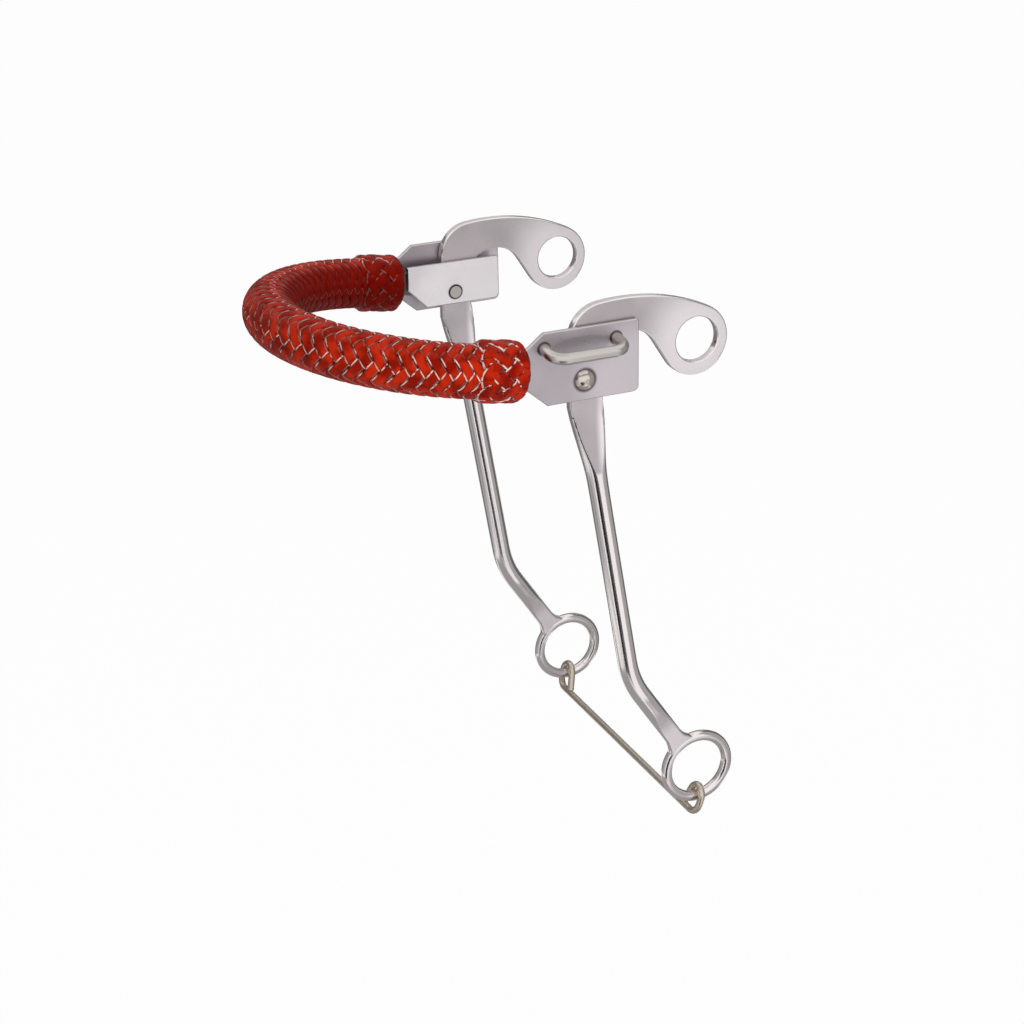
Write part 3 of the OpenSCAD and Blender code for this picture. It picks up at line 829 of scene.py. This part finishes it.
for side in SIDES:
    plates = {"outer_plate": "plate_steel", "inner_plate": "inner_plate_steel"}
    for part, material in plates.items():
        eased(f"{side}_{part}", material, "noseband", PLATE_EASE, clear_of_holes)
    arm = eased(f"{side}_shank", "shank_steel", f"{side}_shank", ARM_EASE, on_arm, below_blade)
    bar = new_piece(f"{side}_shank_rod", rod(side), ["shank_steel"], f"{side}_shank")
    bar.data.set_sharp_from_angle(angle=EASED_ANGLE)


def finish_cad(node, material):
    """Gives its material to a piece that keeps its CAD shape."""
    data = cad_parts[node].data
    data.materials.clear()
    data.materials.append(materials[material])


for side in SIDES:
    finish_cad(f"{side}_tang", "tang_steel")
    finish_cad(f"{side}_tang_rivet", "rivet_steel")
    finish_cad(f"{side}_headstall_loop", "loop_steel")
    finish_cad(f"{side}_pivot_rivet", "rivet_steel")
finish_cad("noseband_cable", "cable_steel")
finish_cad("spacer_bar", "spacer_wire")

# Camera
back = Vector((
    math.sin(CAMERA_AZIMUTH) * math.cos(CAMERA_ELEVATION),
    -math.cos(CAMERA_AZIMUTH) * math.cos(CAMERA_ELEVATION),
    math.sin(CAMERA_ELEVATION),
))
rightwards = Vector((math.cos(CAMERA_AZIMUTH), math.sin(CAMERA_AZIMUTH), 0))
upwards = back.cross(rightwards)
turned = Matrix((rightwards, upwards, back)).transposed() @ Matrix.Rotation(CAMERA_ROLL, 3, "Z")
camera = bpy.data.objects.new("camera", bpy.data.cameras.new("camera"))
bpy.context.scene.collection.objects.link(camera)
camera.data.lens = CAMERA_LENS
camera.data.sensor_width = SENSOR_WIDTH
camera.data.clip_start = CLIP_START
camera.matrix_world = Matrix.Translation(CAMERA_PLACE * MM) @ turned.to_4x4()
bpy.context.scene.camera = camera


# Stage and light
def background_rays(graph):
    """1 for rays that show the white background: those of the camera, of gloss and of glass."""
    path = graph.node("ShaderNodeLightPath")
    names = ("Is Camera Ray", "Is Glossy Ray", "Is Transmission Ray")
    camera_ray, glossy_ray, glass_ray = (Value(graph, path.outputs[name]) for name in names)
    return camera_ray.math("MAXIMUM", glossy_ray).math("MAXIMUM", glass_ray)


def floor_material():
    """White with a faint shadow where it is seen, and pale grey in the light that it gives back."""
    graph = Graph(bpy.data.materials.new("floor"))
    white = graph.add("ShaderNodeEmission", {}, {"Color": (1, 1, 1, 1), "Strength": 1.0})
    lit = graph.add("ShaderNodeBsdfDiffuse", {}, {"Color": (0.8, 0.8, 0.8, 1)})
    share = background_rays(graph) * FLOOR_WHITE
    shader = graph.add("ShaderNodeMixShader", {}, {0: share, 1: lit, 2: white})
    graph.node("ShaderNodeOutputMaterial", {}, {"Surface": shader})
    return graph.owner


def card_material(name, brightness):
    """Plain white glow."""
    graph = Graph(bpy.data.materials.new(name))
    glow = graph.add("ShaderNodeEmission", {}, {"Color": (1, 1, 1, 1), "Strength": brightness})
    graph.node("ShaderNodeOutputMaterial", {}, {"Surface": glow})
    return graph.owner


def stage_plane(name, size, matrix, material):
    """Level square of the stage, put in its place by a matrix."""
    mesh = bmesh.new()
    bmesh.ops.create_grid(mesh, x_segments=1, y_segments=1, size=size)
    bmesh.ops.transform(mesh, verts=mesh.verts, matrix=matrix)
    data = bpy.data.meshes.new(name)
    mesh.to_mesh(data)
    mesh.free()
    data.materials.append(material)
    plane = bpy.data.objects.new(name, data)
    bpy.context.scene.collection.objects.link(plane)
    return plane


middle = (cad_box[0] + cad_box[1]) / 2
floor_level = cad_box[0].z - FLOOR_DROP
stage_plane("floor", FLOOR_SIZE, Matrix.Translation((0, 0, floor_level)), floor_material())


def card(name, bearing, width, away, low, high, brightness):
    """Upright card that only polished metal sees."""
    angle = CAMERA_AZIMUTH + math.radians(bearing)
    place = middle + away * Vector((math.sin(angle), -math.cos(angle), 0))
    place.z = (low + high) / 2
    shape = Matrix.Diagonal((away * math.tan(math.radians(width / 2)), (high - low) / 2, 1, 1))
    upright = Matrix.Rotation(math.radians(90), 4, "X")
    matrix = Matrix.Translation(place) @ Matrix.Rotation(angle, 4, "Z") @ upright @ shape
    reflected_only(stage_plane(name, 1, matrix, card_material(name, brightness)))


def reflected_only(plane):
    """Hides a plane from all but gloss."""
    plane.visible_camera = False
    plane.visible_diffuse = False
    plane.visible_shadow = False


# Upright cards: name, bearing to the right of the camera and width in degrees, then distance from the
# object's middle, height of the lower and the upper edge in metres, and brightness
UPRIGHT_CARDS = (
    ("dark_card", -6, 20, 0.4, floor_level, -0.1, 0.0),
    ("dim_card", 13, 18, 0.4, floor_level, -0.1, 0.1),
    ("left_pale_card", -48, 34, 0.42, floor_level, 0.3, 0.5),
    ("left_card", -80, 30, 0.44, floor_level, 0.3, 0.3),
    ("rear_left_card", -104, 18, 0.44, floor_level, 0.3, 0.42),
    ("far_left_card", -136, 46, 0.46, floor_level, 0.16, 0.2),
    ("back_card", 180, 44, 0.46, floor_level, 0.1, 0.2),
    ("right_card", 86, 44, 0.42, floor_level, 0.3, 0.4),
    ("far_right_card", 130, 44, 0.42, floor_level, 0.3, 0.14),
    ("high_back_card", 180, 100, 0.5, 0.12, 0.5, 0.6),
)
# Level cards: name, height in metres and brightness
LEVEL_CARDS = (("low_card", floor_level + 0.02, 0.35), ("high_card", 0.7, 0.75))
LEVEL_CARD_SIZE = 0.3

for values in UPRIGHT_CARDS:
    card(*values)
for name, height, brightness in LEVEL_CARDS:
    level = Matrix.Translation((middle.x, middle.y, height))
    reflected_only(stage_plane(name, LEVEL_CARD_SIZE, level, card_material(name, brightness)))

world = bpy.data.worlds.new("studio")
bpy.context.scene.world = world
studio = Graph(world)
room = studio.add("ShaderNodeBackground", {}, {"Color": (0.95, 0.95, 0.97, 1), "Strength": 0.32})
white = studio.add("ShaderNodeBackground", {}, {"Color": (1, 1, 1, 1), "Strength": 1.0})
shader = studio.add("ShaderNodeMixShader", {}, {0: background_rays(studio), 1: room, 2: white})
studio.node("ShaderNodeOutputWorld", {}, {"Surface": shader})


def softbox(name, place, width, height, power):
    """Area lamp at a place in metres, aimed at the object's middle. Steel shows the cards and the floor,
    not the lamps."""
    data = bpy.data.lights.new(name, "AREA")
    data.shape = "RECTANGLE"
    data.size = width
    data.size_y = height
    data.energy = power
    lamp = bpy.data.objects.new(name, data)
    bpy.context.scene.collection.objects.link(lamp)
    lamp.location = place
    lamp.rotation_mode = "QUATERNION"
    lamp.rotation_quaternion = (middle - lamp.location).to_track_quat("-Z", "Y")
    lamp.visible_glossy = False


softbox("key", Vector((-0.15, -1.0, 0.08)), 0.8, 0.16, 5.5)
softbox("top", Vector((-0.2, -0.2, 1.2)), 0.8, 0.8, 5.5)

bpy.context.scene.view_settings.view_transform = "Standard"
